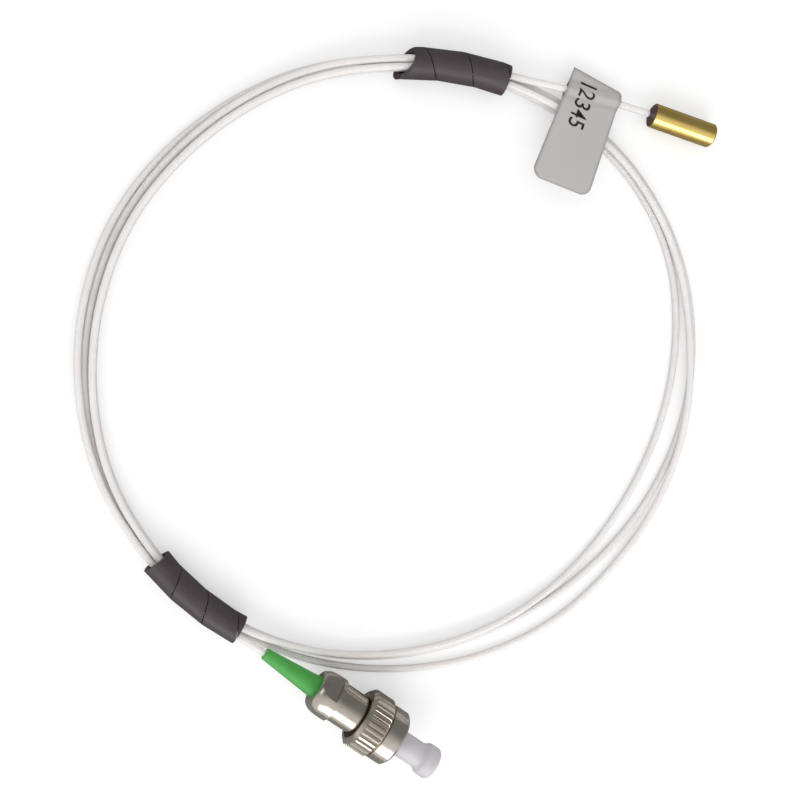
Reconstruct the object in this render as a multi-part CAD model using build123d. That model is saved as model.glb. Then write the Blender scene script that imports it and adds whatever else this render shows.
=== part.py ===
from build123d import *
from math import cos, degrees, pi, radians, sin, tan
import os

# Millimetres. The collimator lies on its side along X, with the beam leaving towards +X.
# The origin is under the middle of its length, on the surface that everything lies on.

# Collimator
BARREL_D = 3.7
BARREL_LENGTH = 10.6
BARREL_CHAMFER = 0.25
LENS_D = 1.8
LENS_LENGTH = 4.8
LENS_RECESS = 0.45
SLEEVE_WALL = 0.49
SLEEVE_LENGTH = 8.2
CAPILLARY_LENGTH = 4.0
CAPILLARY_FUNNEL = 0.5
FACE_TILT = 8.0
LENS_GAP = 0.12
EPOXY_DOME = 0.16
EPOXY_MARGIN = 0.12
REAR_EDGE_CHAMFER = 0.08
GLUE_FIT = 0.02

# Fibre
GLASS_D = 0.125
COATING_D = 0.25
COATING_FIT = 0.03
TUBE_D = 1.1
TUBE_GAP = 0.04
TUBE_IN_EPOXY = 0.9

# Coil, as it lies: its middle from the origin, and how far its own angles are turned from X
COIL_X = -32.1
COIL_Y = -50.0
COIL_TURNED = 16.6
UPPER_WRAP_RADIUS = 47.2
LOWER_WRAP_RADIUS = 46.65

# Wraps, with the coil angle of each one's middle, and how far it reaches each way. Two tubes
# and the slack fit side by side in the bore. The lower wrap's far end rises with the connector,
# whose axis lies as high as its nut's radius, less the drop.
WRAP_SLACK = 0.9
WRAP_WALL = 0.75
WRAP_PITCH = 6.0
WRAP_SLIT = 0.16
UPPER_WRAP_AT = 79.5
UPPER_WRAP_REACH = 9.4
UPPER_WRAP_SEAMS = 81.1
UPPER_WRAP_SWING = 0.5
UPPER_WRAP_LEAN = 29.0
UPPER_WRAP_TIP = 27.0
LOWER_WRAP_AT = 226.2
LOWER_WRAP_REACH = 10.4
LOWER_WRAP_SEAMS = 225.0
LOWER_WRAP_DROP = 4.3
STATION_REACH = 12.0
WRAP_STEPS = 44

# Flag label, folded over the lead
LABEL_WIDTH = 8.7
LABEL_LENGTH = 17.4
LABEL_SPLAY = 1.2
LABEL_FOLD_SLANT = 0.45
LABEL_PLY = 0.1
LABEL_CORNER = 1.6
LABEL_FOLD_CORNER = 0.7
LABEL_PITCH = 10.0
LABEL_SKEW = 10.4
LABEL_FOLD_FROM_LEAD = 2.45
LABEL_ALONG_LEAD = 0.46
LABEL_POCKET_FIT = 0.08
LABEL_POCKET_REACH = 1.4

# Connector, along its own axis from the tip of the boot
CONNECTOR_TIP_RADIUS = 48.05
CONNECTOR_TIP_AT = 242.9
CONNECTOR_HEADING = -37.3
CONNECTOR_PITCH = 3.9
CONNECTOR_LEAD_IN = 3.0
BOOT_LENGTH = 9.8
BOOT_TIP_D = 1.9
BOOT_BASE_D = 3.6
BOOT_SKIRT = 2.2
BOOT_SKIRT_D = 4.0
CRIMP_START = 7.6
CRIMP_LENGTH = 6.6
CRIMP_D = 2.4
CRIMP_BORE = 0.6
REAR_BODY_D = 7.2
REAR_BODY_LENGTH = 3.9
REAR_COLLAR = 0.55
REAR_RIM_D = 5.0
REAR_DOME = 2.5
WRENCH_FLAT = 6.0
WRENCH_FLAT_FACING = 47.0
STOP_NECK_D = 5.3
STOP_NECK_LENGTH = 1.9
FRAME_D = 6.4
FRAME_BARREL = 6.2
FRAME_FLANGE_D = 7.1
FRAME_FLANGE = 0.8
FRAME_SLEEVE_D = 6.0
FRAME_SLEEVE = 3.5
FRAME_BORE = 4.8
FRAME_WALL = 0.95
FRONT_BORE = 4.9
KEY_WIDTH = 2.0
KEY_LENGTH = 2.6
KEY_HEIGHT = 3.5
NUT_START = 18.3
NUT_KNURL_D = 10.0
NUT_KNURL_LENGTH = 4.3
NUT_BAND_D = 9.1
NUT_BAND_LENGTH = 3.0
NUT_CHAMFER = 0.65
NUT_LIP_START = 0.7
NUT_BORE = 7.6
NUT_RECESS_D = 7.8
KNURL_TEETH = 36
KNURL_DEPTH = 0.32
FERRULE_D = 2.5
FERRULE_LENGTH = 8.5
FERRULE_TIP_AT = 26.2
FERRULE_CHAMFER = 0.35
FLANGE_D = 4.5
FLANGE_THICK = 1.15
FLANGE_NOTCH = 0.9
HUB_D = 3.2
HUB_LENGTH = 1.4
TAIL_D = 1.8
TAIL_LENGTH = 1.3
SPRING_WIRE = 0.36
SPRING_D = 4.3
SPRING_TURNS = 4.5
CAP_START = 21.2
CAP_D = 4.15
CAP_NECK_END = 30.2
CAP_FLARE_D = 5.3
CAP_LENGTH = 12.2
CAP_BORE_DEPTH = 6.2
CAP_ROUND = 0.6
FIT = 0.05
SLIDE_FIT = 0.1
REST_GAP = 0.03

# Worked out from the sizes above
BARREL_R = BARREL_D / 2
REAR_END = -(BARREL_LENGTH + EPOXY_DOME) / 2
BARREL_REAR = REAR_END + EPOXY_DOME
BARREL_FRONT = BARREL_REAR + BARREL_LENGTH
LENS_FRONT = BARREL_FRONT - LENS_RECESS
SLEEVE_D = LENS_D + 2 * SLEEVE_WALL
SLEEVE_REAR = LENS_FRONT - SLEEVE_LENGTH
LENS_REAR = LENS_FRONT - LENS_LENGTH
CAPILLARY_FRONT = LENS_REAR - LENS_GAP
CAPILLARY_REAR = CAPILLARY_FRONT - CAPILLARY_LENGTH
TUBE_END = REAR_END + EPOXY_DOME + TUBE_IN_EPOXY
TUBE_R = TUBE_D / 2
SLOT = (TUBE_D + TUBE_GAP) / 2
WRAP_BORE = 2 * TUBE_D + WRAP_SLACK
WRAP_HEIGHT = WRAP_BORE / 2 + WRAP_WALL
LOWER_WRAP_RISE = NUT_KNURL_D / 2 - LOWER_WRAP_DROP
UPPER_WRAP = (UPPER_WRAP_AT, UPPER_WRAP_RADIUS, UPPER_WRAP_SWING, 0)
LOWER_WRAP = (LOWER_WRAP_AT, LOWER_WRAP_RADIUS, 0, LOWER_WRAP_RISE)
TWIST_SPACING = TUBE_D + 2.5 * TUBE_GAP
REAR_BODY_START = BOOT_LENGTH
REAR_BODY_END = REAR_BODY_START + REAR_BODY_LENGTH
BOOT_END = BOOT_LENGTH + BOOT_SKIRT
CRIMP_END = CRIMP_START + CRIMP_LENGTH
STOP_END = REAR_BODY_END + STOP_NECK_LENGTH
FLANGE_START = REAR_BODY_END + FRAME_BARREL
FLANGE_END = FLANGE_START + FRAME_FLANGE
FRAME_END = FLANGE_END + FRAME_SLEEVE
WALL_REAR = FLANGE_END - FRAME_WALL
FERRULE_REAR = FERRULE_TIP_AT - FERRULE_LENGTH
DISC_FRONT = WALL_REAR - REST_GAP
DISC_REAR = DISC_FRONT - FLANGE_THICK
HUB_REAR = DISC_REAR - HUB_LENGTH
TAIL_REAR = HUB_REAR - TAIL_LENGTH
NUT_KNURL_END = NUT_START + NUT_KNURL_LENGTH
NUT_END = NUT_KNURL_END + NUT_BAND_LENGTH
NUT_LIP_END = FLANGE_START - SLIDE_FIT
CAP_END = CAP_START + CAP_LENGTH


def on_coil(angle, radius, height):
    turned = radians(angle + COIL_TURNED)
    return Vector(COIL_X + radius * cos(turned), COIL_Y + radius * sin(turned), height)


def turned(*profile):
    """A turned piece round X, from its section's corners as (along, radius)."""
    outline = Polyline(*profile, close=True)
    return revolve(make_face(outline), Axis.X)


def rod(start, end, diameter):
    return turned((start, 0), (end, 0), (end, diameter / 2), (start, diameter / 2))


def tube(start, end, outer, inner):
    return turned((start, inner / 2), (end, inner / 2), (end, outer / 2), (start, outer / 2))


def slanted_block(face_at, side):
    """A block that ends at a face tilted by FACE_TILT, for trimming glass ends."""
    block = Pos(side * 10, 0, 0) * Box(20, 10, 10)
    return Pos(face_at, 0, 0) * Rot(0, 0, FACE_TILT) * block


# Collimator pieces, first along X round the axis, then raised by the barrel's radius

def collimator_tube():
    bore = (SLEEVE_D + 2 * GLUE_FIT) / 2
    rim = BARREL_R - BARREL_CHAMFER
    lead_in = bore + BARREL_CHAMFER / 2
    rear_rim = BARREL_R - REAR_EDGE_CHAMFER
    return turned(
        (BARREL_REAR, bore), (BARREL_REAR, rear_rim), (BARREL_REAR + REAR_EDGE_CHAMFER, BARREL_R),
        (BARREL_FRONT - BARREL_CHAMFER, BARREL_R), (BARREL_FRONT, rim), (BARREL_FRONT, lead_in),
        (BARREL_FRONT - BARREL_CHAMFER / 2, bore),
    )


def glass_sleeve():
    return tube(SLEEVE_REAR, LENS_FRONT, SLEEVE_D, LENS_D + 2 * GLUE_FIT)


def grin_lens():
    lens = rod(LENS_REAR - 1, LENS_FRONT, LENS_D)
    return lens - slanted_block(LENS_REAR, -1)


def fibre_capillary():
    bore = (GLASS_D + 2 * GLUE_FIT) / 2
    funnel = COATING_D * 1.5
    glass = turned(
        (CAPILLARY_REAR, funnel), (CAPILLARY_REAR + CAPILLARY_FUNNEL, bore),
        (CAPILLARY_FRONT + 1, bore), (CAPILLARY_FRONT + 1, LENS_D / 2), (CAPILLARY_REAR, LENS_D / 2),
    )
    return glass - slanted_block(CAPILLARY_FRONT, 1)


def lens_fibre():
    bare_from = CAPILLARY_REAR + CAPILLARY_FUNNEL
    coated_to = CAPILLARY_REAR + CAPILLARY_FUNNEL / 4
    fibre = turned(
        (TUBE_END, 0), (CAPILLARY_FRONT + 1, 0), (CAPILLARY_FRONT + 1, GLASS_D / 2),
        (bare_from, GLASS_D / 2), (coated_to, COATING_D / 2), (TUBE_END, COATING_D / 2),
    )
    return fibre - slanted_block(CAPILLARY_FRONT, 1)


def rear_epoxy():
    """Fills the tube behind the glass, grips the loose tube, and domes over the tube's end."""
    edge = SLEEVE_D / 2
    dome_edge = BARREL_R - EPOXY_MARGIN
    lip = BARREL_REAR - GLUE_FIT
    front = SLEEVE_REAR - GLUE_FIT
    tube_hole = TUBE_R + GLUE_FIT
    fibre_hole = COATING_D / 2 + COATING_FIT
    glass_hole = LENS_D / 2 + GLUE_FIT
    glass_seat = CAPILLARY_REAR - GLUE_FIT
    with BuildPart() as plug:
        with BuildSketch(Plane.XY):
            with BuildLine():
                Polyline((front, glass_hole), (front, edge), (lip, edge), (lip, dome_edge))
                ThreePointArc(
                    (lip, dome_edge), (BARREL_REAR - EPOXY_DOME * 0.8, (dome_edge + edge) / 2),
                    (REAR_END, tube_hole),
                )
                Polyline(
                    (REAR_END, tube_hole), (TUBE_END, tube_hole), (TUBE_END, fibre_hole),
                    (glass_seat, fibre_hole), (glass_seat, glass_hole), (front, glass_hole),
                )
            make_face()
        revolve(axis=Axis.X)
    return plug.part


# The fibre's loose tube

# The lead's points from the end in the epoxy to the upper wrap
LEAD_POINTS = (
    (TUBE_END, 0, BARREL_R),
    (-10.4, 0, BARREL_R),
    (-21.4, -0.95, 2.6),
)

# Left of the coil, from the upper wrap to the lower one. The four strands run as two pairs.
# Each row: coil angle, middle radius of the inner pair, its twist, then the same of the outer
# pair. The twist is the slope, in degrees, of the line from one strand of a pair to the other.
LEFT_ROWS = (
    (106.0, 46.25, 92, 47.6, -75),
    (121.0, 45.85, 88, 47.4, -55),
    (136.0, 45.8, 92, 47.5, -30),
    (151.0, 46.1, 90, 47.9, 0),
    (167.0, 45.9, 92, 47.7, 25),
    (183.0, 46.0, 90, 47.6, 50),
    (199.0, 46.4, 90, 47.75, 70),
)

# Right of the coil, from the lower wrap to the upper one: coil angle, then the radius and the
# height of the outer, the inner and the middle strand.
RIGHT_ROWS = (
    (254.0, 48.05, 0.55, 45.95, 1.70, 46.5, 0.55),
    (270.0, 48.45, 0.55, 45.3, 1.45, 46.1, 0.55),
    (286.0, 49.3, 0.55, 44.85, 1.45, 45.65, 0.55),
    (302.0, 49.75, 0.55, 44.6, 0.90, 45.95, 0.55),
    (318.0, 49.5, 0.55, 44.2, 0.55, 46.65, 0.55),
    (334.0, 49.2, 1.35, 44.2, 0.55, 47.9, 0.55),
    (350.0, 48.85, 1.80, 45.1, 0.55, 48.95, 0.55),
    (366.0, 48.4, 1.45, 46.5, 0.55, 49.45, 0.55),
    (382.0, 48.95, 1.45, 48.1, 0.55, 49.75, 0.55),
    (398.0, 48.95, 1.55, 48.35, 0.55, 49.6, 0.55),
    (413.0, 48.3, 1.70, 47.75, 0.60, 49.0, 0.80),
)


def wrap_axis(wrap, angle):
    """Radius and height of a wrap's axis at a coil angle."""
    middle, radius, swing, rise = wrap
    along = (angle - middle) / STATION_REACH
    return radius - swing * along, WRAP_HEIGHT + rise * (along + 1) / 2


def wrap_stations(wrap):
    """Three angles through a wrap, with the radius and the height of its axis at each."""
    angles = [wrap[0] + side * STATION_REACH for side in (-1, 0, 1)]
    return [(angle, *wrap_axis(wrap, angle)) for angle in angles]


def pair_strand(middle, twist, sign):
    """Place of one strand of a pair that lies on the floor, from the pair's middle."""
    across = TWIST_SPACING / 2 * cos(radians(twist))
    up = TWIST_SPACING / 2 * sin(radians(twist))
    return middle + sign * across, TUBE_R + abs(up) + sign * up


def left_pass(inner, upper_slot, lower_slot, sign):
    """A strand's stations from the upper wrap, down the left side, through the lower wrap."""
    stations = []
    for angle, radius, height in wrap_stations(UPPER_WRAP):
        stations.append((angle, radius + upper_slot[0], height + upper_slot[1]))
    for angle, inner_middle, inner_twist, outer_middle, outer_twist in LEFT_ROWS:
        middle, twist = (inner_middle, inner_twist) if inner else (outer_middle, outer_twist)
        stations.append((angle, *pair_strand(middle, twist, sign)))
    for angle, radius, height in wrap_stations(LOWER_WRAP):
        stations.append((angle, radius + lower_slot[0], height + lower_slot[1]))
    return stations


def right_pass(strand):
    return [(row[0], row[1 + 2 * strand], row[2 + 2 * strand]) for row in RIGHT_ROWS]


def coil_stations():
    """All turns in order, from the collimator's lead to the connector's."""
    outer_high, outer_low = (SLOT, SLOT), (SLOT, -SLOT)
    inner_high, inner_low = (-SLOT, SLOT), (-SLOT, -SLOT)
    passes = (
        (left_pass(False, outer_high, outer_low, -1), right_pass(0)),
        (left_pass(True, inner_high, inner_high, 1), right_pass(1)),
        (left_pass(True, inner_low, inner_low, -1), right_pass(2)),
        (left_pass(False, outer_low, outer_high, 1), []),
    )
    stations = []
    for turn, (left, right) in enumerate(passes):
        for angle, radius, height in left + right:
            stations.append((angle + 360 * turn, radius, height))
    return stations


def coil_points():
    """The turns' route points, moved out a little because the tube rounds their corners."""
    stations = coil_stations()
    points = []
    for place, (angle, radius, height) in enumerate(stations):
        steps = []
        if place > 0:
            steps.append(angle - stations[place - 1][0])
        if place + 1 < len(stations):
            steps.append(stations[place + 1][0] - angle)
        points.append(on_coil(angle, radius / cos(radians(min(steps) / 2)), height))
    return points


def connector_plane():
    """The connector's own frame: X along its axis, from the boot's tip."""
    tip = on_coil(CONNECTOR_TIP_AT, CONNECTOR_TIP_RADIUS, 0)
    pitch = radians(CONNECTOR_PITCH)
    knurl_foot = NUT_START + NUT_CHAMFER
    tip.Z = NUT_KNURL_D / 2 * cos(pitch) - knurl_foot * sin(pitch)
    heading = radians(CONNECTOR_HEADING + COIL_TURNED)
    forward = Vector(cos(pitch) * cos(heading), cos(pitch) * sin(heading), sin(pitch))
    across = Vector(-sin(heading), cos(heading), 0)
    return Plane(origin=tip, x_dir=forward, z_dir=forward.cross(across))


def corner_radii(points):
    """0.45 of the shorter run at each corner, over the tangent of half the turn."""
    radii = []
    for before, here, after in zip(points, points[1:], points[2:]):
        coming, going = here - before, after - here
        half_turn = radians(coming.get_angle(going)) / 2
        radii.append(0.45 * min(coming.length, going.length) / tan(half_turn))
    return radii


def loose_tube(name, points):
    radii = corner_radii(points)
    path = FilletPolyline(*points, radius=radii)
    section = Plane(origin=points[0], z_dir=points[1] - points[0]) * Circle(TUBE_R)
    solid = sweep(section, path=path)
    share = solid.volume / (pi * TUBE_R**2 * path.length)
    print(name, "length", round(path.length, 1), "volume share", round(share, 4))
    print(name, "radii", [round(radius, 1) for radius in radii])
    return solid


def between(first, second):
    return first + (second - first) * 0.5


def fibre_tubes():
    """The lead, the coil and the connector's lead, which meet face to face halfway along runs."""
    turns = coil_points()
    lead = [Vector(*point) for point in LEAD_POINTS]
    axis = connector_plane()
    seat = axis.from_local_coords(Vector(CRIMP_START, 0, 0))
    wrap_exit = axis.from_local_coords(Vector(-CONNECTOR_LEAD_IN, 0, 0))
    first_split = between(lead[-1], turns[0])
    last_split = between(turns[-2], wrap_exit)
    return {
        "collimator_lead": loose_tube("collimator_lead", lead + [first_split]),
        "fibre_coil": loose_tube("fibre_coil", [first_split] + turns[:-1] + [last_split]),
        "connector_lead": loose_tube("connector_lead", [last_split, wrap_exit, seat]),
    }


# What is on the fibre

def spiral_wrap(wrap, reach, seams, lean, tip):
    """A tube slit along a right-handed helix and bent to the coil.

    It is cut square at its near end, and at its far end by the two angles given.
    """
    middle, radius = wrap[:2]
    inner = WRAP_BORE / 2
    outer = inner + WRAP_WALL
    half_strip = (WRAP_PITCH - WRAP_SLIT) / 2
    turns = 2 * radians(reach) * radius / WRAP_PITCH + 2
    start = radians(middle - reach - seams) * radius / WRAP_PITCH - 1

    def place(turn, shift, distance):
        along = seams + degrees((turn * WRAP_PITCH + shift) / radius)
        axis_radius, axis_height = wrap_axis(wrap, along)
        facing = pi / 2 - 2 * pi * turn
        return on_coil(along, axis_radius + distance * cos(facing),
                       axis_height + distance * sin(facing))

    corners = ((-half_strip, inner), (half_strip, inner), (half_strip, outer), (-half_strip, outer))
    edges = []
    for shift, distance in corners:
        steps = [start + turns * step / WRAP_STEPS for step in range(WRAP_STEPS + 1)]
        edges.append(Edge.make_spline([place(turn, shift, distance) for turn in steps]))
    faces = [Face.make_surface_from_curves(edges[n], edges[(n + 1) % 4]) for n in range(4)]
    for end in (0, 1):
        ring = [edge @ end for edge in edges]
        sides = (Edge.make_line(ring[0], ring[1]), Edge.make_line(ring[3], ring[2]))
        faces.append(Face.make_surface_from_curves(*sides))
    strip = Solid(Shell(faces))
    for side in (-1, 1):
        cut_at = middle + side * reach
        centre = on_coil(cut_at, *wrap_axis(wrap, cut_at))
        ahead = on_coil(cut_at + side, *wrap_axis(wrap, cut_at + side))
        facing = (ahead - centre).normalized()
        if side > 0:
            outward = facing.cross(Vector(0, 0, 1))
            facing += outward * tan(radians(lean)) + Vector(0, 0, tan(radians(tip)))
        square = Plane(origin=centre, z_dir=facing)
        strip = split(strip, bisect_by=square, keep=Keep.BOTTOM)
    return strip


def flag_label():
    """Film folded a little askew over the lead: two plies stuck together, parted by the lead."""
    half = LABEL_WIDTH / 2
    fold = LABEL_FOLD_FROM_LEAD
    foot = fold - LABEL_LENGTH
    slant = LABEL_FOLD_SLANT
    outline = Polyline(
        (-half - LABEL_SPLAY, foot - slant), (half, foot), (half, fold), (-half, fold + slant),
        close=True,
    )
    film = make_face(outline)
    film = fillet(film.vertices().sort_by(Axis.Y)[:2], LABEL_CORNER)
    fold_end = film.vertices().filter_by_position(Axis.Y, fold - 0.01, fold + 0.01)
    film = fillet(fold_end.sort_by(Axis.X)[-1], LABEL_FOLD_CORNER)
    pocket_r = TUBE_R + LABEL_POCKET_FIT
    outer = pocket_section(pocket_r + LABEL_PLY, LABEL_POCKET_REACH + LABEL_PLY, LABEL_PLY)
    inner = pocket_section(pocket_r, LABEL_POCKET_REACH, LABEL_PLY / 20)
    across_lead = Plane(origin=(0, 0, 0), x_dir=(0, 1, 0), z_dir=(1, 0, 0))
    bump = extrude(across_lead * outer, LABEL_WIDTH, both=True)
    hollow = extrude(across_lead * inner, LABEL_WIDTH, both=True)
    film = Rot(0, 0, -LABEL_SKEW) * film
    plies = extrude(film, LABEL_PLY, both=True)
    prism = extrude(film, pocket_r + 1, both=True)
    label = plies + (bump & prism) - hollow
    return label_plane() * label


def label_plane():
    """The label's own frame, with the lead along X and the fold on the +Y side."""
    near, far = Vector(*LEAD_POINTS[1]), Vector(*LEAD_POINTS[2])
    along = (near - far).normalized()
    side = Vector(0, 0, 1).cross(along).normalized()
    pitch = radians(LABEL_PITCH)
    towards_fold = side * cos(pitch) - along.cross(side) * sin(pitch)
    middle = near + (far - near) * LABEL_ALONG_LEAD
    return Plane(origin=middle, x_dir=along, z_dir=along.cross(towards_fold))


def pocket_section(radius, reach, half_thick):
    """An eye-shaped section: a circle with tangents down to the two flat plies."""
    touch = radians(60)
    top = (radius * cos(touch), radius * sin(touch))
    with BuildSketch() as section:
        Circle(radius)
        with BuildLine():
            Polyline(
                (top[0], top[1]), (reach, half_thick), (reach, -half_thick), (top[0], -top[1]),
                (-top[0], -top[1]), (-reach, -half_thick), (-reach, half_thick), (-top[0], top[1]),
                close=True,
            )
        make_face()
    return section.sketch


# Connector pieces, along X from the boot's tip

def boot():
    tube_bore = TUBE_R + FIT
    crimp_bore = CRIMP_D / 2 + FIT
    skirt = BOOT_SKIRT_D / 2
    return turned(
        (0, tube_bore), (0, BOOT_TIP_D / 2 - 0.15), (0.15, BOOT_TIP_D / 2),
        (BOOT_LENGTH, BOOT_BASE_D / 2), (BOOT_LENGTH, skirt), (BOOT_END, skirt),
        (BOOT_END, crimp_bore), (CRIMP_START - FIT, crimp_bore), (CRIMP_START - FIT, tube_bore),
    )


def crimp_tube():
    return tube(CRIMP_START, CRIMP_END, CRIMP_D, CRIMP_BORE)


def rear_body():
    """Domed towards the boot, with two wrench flats that end at a collar."""
    outer = REAR_BODY_D / 2
    counterbore = BOOT_SKIRT_D / 2 + FIT
    bore = CRIMP_D / 2 + FIT
    neck = STOP_NECK_D / 2
    seat = BOOT_END + FIT
    rim = REAR_RIM_D / 2
    with BuildPart() as body:
        with BuildSketch(Plane.XY):
            with BuildLine():
                Line((REAR_BODY_START, counterbore), (REAR_BODY_START, rim))
                EllipticalCenterArc(
                    (REAR_BODY_START + REAR_DOME, rim), REAR_DOME, outer - rim,
                    start_angle=90, arc_size=90,
                )
                Polyline(
                    (REAR_BODY_START + REAR_DOME, outer), (REAR_BODY_END, outer),
                    (REAR_BODY_END, neck), (STOP_END, neck), (STOP_END, bore), (seat, bore),
                    (seat, counterbore), (REAR_BODY_START, counterbore),
                )
            make_face()
        revolve(axis=Axis.X)
    beyond = REAR_BODY_D
    flat_end = REAR_BODY_END - REAR_COLLAR
    cutter = Box(beyond, beyond * 2, beyond, align=(Align.MAX, Align.CENTER, Align.MIN))
    cutter = Pos(flat_end, 0, WRENCH_FLAT / 2) * cutter
    solid = body.part
    for turn in (0, 180):
        solid -= Rot(turn - WRENCH_FLAT_FACING, 0, 0) * cutter
    return solid


def connector_frame():
    outer = FRAME_D / 2
    thread = STOP_NECK_D / 2 + FIT
    bore = FRAME_BORE / 2
    flange = FRAME_FLANGE_D / 2
    sleeve = FRAME_SLEEVE_D / 2
    hole = FERRULE_D / 2 + SLIDE_FIT
    front = FRONT_BORE / 2
    thread_end = STOP_END + FIT
    body = turned(
        (REAR_BODY_END, thread), (REAR_BODY_END, outer - 0.1), (REAR_BODY_END + 0.1, outer),
        (FLANGE_START, outer), (FLANGE_START, flange), (FLANGE_END, flange),
        (FLANGE_END, sleeve), (FRAME_END - 0.3, sleeve), (FRAME_END, sleeve - 0.3),
        (FRAME_END, front), (FLANGE_END, front), (FLANGE_END, hole),
        (WALL_REAR, hole), (WALL_REAR, bore), (thread_end, bore), (thread_end, thread),
    )
    key = Box(KEY_LENGTH, KEY_WIDTH, KEY_HEIGHT - front, align=(Align.MIN, Align.CENTER, Align.MIN))
    return body + Pos(FLANGE_END, 0, front + 0.1) * key


def knurl_section():
    """Straight teeth round a circle, each with a flat crest and a vee between it and the next."""
    crest = NUT_KNURL_D / 2
    root = crest - KNURL_DEPTH
    pitch = 360 / KNURL_TEETH
    corners = []
    for tooth in range(KNURL_TEETH):
        for share, radius in ((0.3, crest), (0.7, crest), (1.0, root)):
            angle = radians((tooth + share) * pitch)
            corners.append((radius * cos(angle), radius * sin(angle)))
    return make_face(Polyline(*corners, close=True))


def coupling_nut():
    crest = NUT_KNURL_D / 2
    band = NUT_BAND_D / 2
    recess = NUT_RECESS_D / 2
    lip = FRAME_D / 2 + SLIDE_FIT
    bore = NUT_BORE / 2
    lip_start = NUT_START + NUT_LIP_START
    body = turned(
        (NUT_START, recess), (NUT_START, crest - NUT_CHAMFER), (NUT_START + NUT_CHAMFER, crest),
        (NUT_KNURL_END - NUT_CHAMFER, crest), (NUT_KNURL_END, crest - NUT_CHAMFER),
        (NUT_KNURL_END, band), (NUT_END - 0.45, band), (NUT_END, band - 0.45), (NUT_END, bore + 0.2),
        (NUT_END - 0.2, bore), (NUT_LIP_END, bore), (NUT_LIP_END, lip), (lip_start, lip),
        (lip_start, recess),
    )
    side = Plane(origin=(NUT_START - 1, 0, 0), x_dir=(0, 1, 0), z_dir=(1, 0, 0))
    teeth = extrude(side * knurl_section(), NUT_END - NUT_START + 2)
    return body & teeth


def ferrule():
    radius = FERRULE_D / 2
    bore = (GLASS_D + 2 * GLUE_FIT) / 2
    body = turned(
        (FERRULE_REAR, bore * 3), (FERRULE_REAR + 0.4, bore), (FERRULE_TIP_AT, bore),
        (FERRULE_TIP_AT, radius - FERRULE_CHAMFER * 1.7),
        (FERRULE_TIP_AT - FERRULE_CHAMFER, radius), (FERRULE_REAR, radius),
    )
    return body - slanted_block(FERRULE_TIP_AT - radius * 0.05, 1)


def ferrule_flange():
    disc = FLANGE_D / 2
    hub = HUB_D / 2
    tail = TAIL_D / 2
    socket = FERRULE_D / 2 + GLUE_FIT
    bore = COATING_D / 2 + COATING_FIT
    body = turned(
        (TAIL_REAR, bore), (TAIL_REAR, tail), (HUB_REAR, tail), (HUB_REAR, hub), (DISC_REAR, hub),
        (DISC_REAR, disc), (DISC_FRONT, disc), (DISC_FRONT, socket), (FERRULE_REAR, socket),
        (FERRULE_REAR, bore),
    )
    notch = Box(FLANGE_THICK + 1, FLANGE_NOTCH, 1, align=(Align.CENTER, Align.CENTER, Align.MIN))
    notch = Pos((DISC_FRONT + DISC_REAR) / 2, 0, disc - 0.4) * notch
    for quarter in range(4):
        body -= Rot(90 * quarter, 0, 0) * notch
    return body


def ferrule_spring():
    """Wire wound between the stop's face and the flange, eight-sided to keep it light."""
    room = DISC_REAR - STOP_END
    pitch = (room - SPRING_WIRE - 2 * REST_GAP) / SPRING_TURNS
    middle = (SPRING_D - SPRING_WIRE) / 2
    helix = Helix(pitch, pitch * SPRING_TURNS, middle)
    wire = Plane(origin=helix @ 0, z_dir=helix % 0) * RegularPolygon(SPRING_WIRE / 2, 8)
    coil = sweep(wire, path=helix, is_frenet=True)
    upright = Plane(origin=(STOP_END + SPRING_WIRE / 2 + REST_GAP, 0, 0), z_dir=(1, 0, 0))
    return upright * coil


def connector_fibre():
    coated_from = CRIMP_END - 1.2
    fibre = turned(
        (coated_from, 0), (FERRULE_TIP_AT, 0), (FERRULE_TIP_AT, GLASS_D / 2),
        (FERRULE_REAR + 0.4, GLASS_D / 2), (FERRULE_REAR, COATING_D / 2), (coated_from, COATING_D / 2),
    )
    return fibre - slanted_block(FERRULE_TIP_AT - FERRULE_D / 2 * 0.05, 1)


def dust_cap():
    neck = CAP_D / 2
    bore = FERRULE_D / 2 + FIT
    flare = CAP_FLARE_D / 2
    bottom = CAP_START + CAP_BORE_DEPTH
    flare_start = CAP_NECK_END + 1.0
    with BuildPart() as cap:
        with BuildSketch(Plane.XY):
            with BuildLine():
                Line((CAP_START, bore), (CAP_START, neck - 0.2))
                Line((CAP_START, neck - 0.2), (CAP_START + 0.2, neck))
                Line((CAP_START + 0.2, neck), (CAP_NECK_END, neck))
                Spline(
                    (CAP_NECK_END, neck), (flare_start, flare - 0.1), (flare_start + 0.6, flare),
                    tangents=((1, 0), (1, 0)),
                )
                Line((flare_start + 0.6, flare), (CAP_END - CAP_ROUND, flare))
                ThreePointArc(
                    (CAP_END - CAP_ROUND, flare),
                    (CAP_END - CAP_ROUND * 0.29, flare - CAP_ROUND * 0.29),
                    (CAP_END, flare - CAP_ROUND),
                )
                Line((CAP_END, flare - CAP_ROUND), (CAP_END, 0))
                Line((CAP_END, 0), (bottom + 0.4, 0))
                Line((bottom + 0.4, 0), (bottom, bore))
                Line((bottom, bore), (CAP_START, bore))
            make_face()
        revolve(axis=Axis.X)
    return cap.part


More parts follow.
